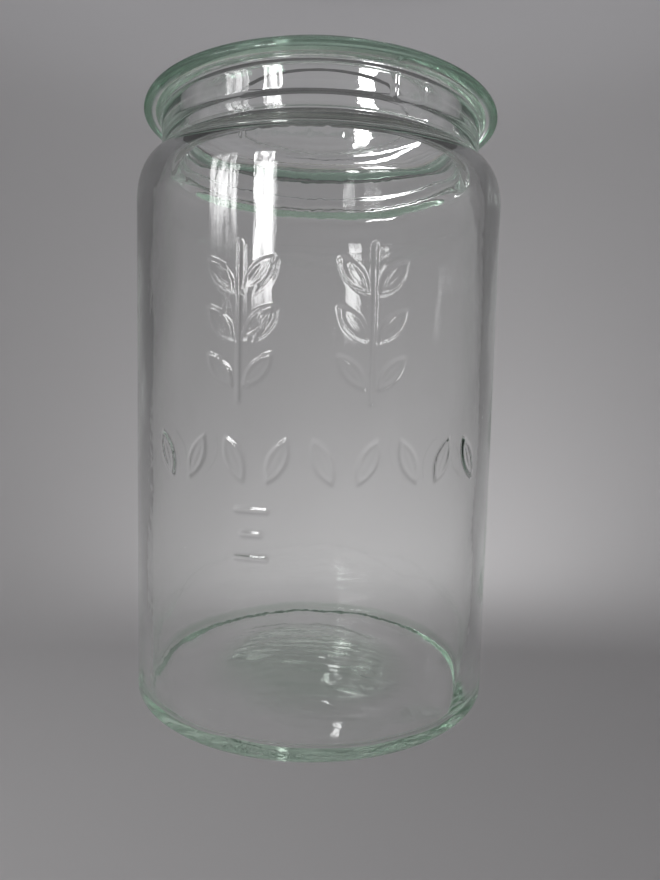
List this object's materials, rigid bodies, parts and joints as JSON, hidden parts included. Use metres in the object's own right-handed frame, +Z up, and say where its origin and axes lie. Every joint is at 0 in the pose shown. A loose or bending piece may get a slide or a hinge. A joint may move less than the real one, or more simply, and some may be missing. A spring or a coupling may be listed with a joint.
{
  "type": "lidded glass canister",
  "caption": "Clear pale green glass preserving jar with straight sides, a round shoulder and a wide flange, closed by a flat rubber ring and a pressed glass lid.",
  "frame": {"origin": "on the jar's axis, at the level of the surface that it stands on", "axes": "+Z up along the jar's axis, -Y towards the decorated front, +X to the right of someone facing the front"},
  "size_m": [0.102, 0.1025, 0.1674],
  "materials": {
    "jar_glass": "clear pressed glass, faint green",
    "ring_rubber": "matte",
    "lid_glass": "clear pressed glass, faint green"
  },
  "bodies": {
    "jar": {"glass_jar": "jar_glass"},
    "seal_ring": {"seal_ring": "ring_rubber"},
    "lid": {"glass_lid": "lid_glass"}
  },
  "joints": [
    {"name": "ring_lift", "type": "slide", "parent": "jar", "child": "seal_ring", "axis": [0, 0, 1], "range_m": [0, 0.02]},
    {"name": "lid_lift", "type": "slide", "parent": "seal_ring", "child": "lid", "axis": [0, 0, 1], "range_m": [0, 0.06]}
  ]
}
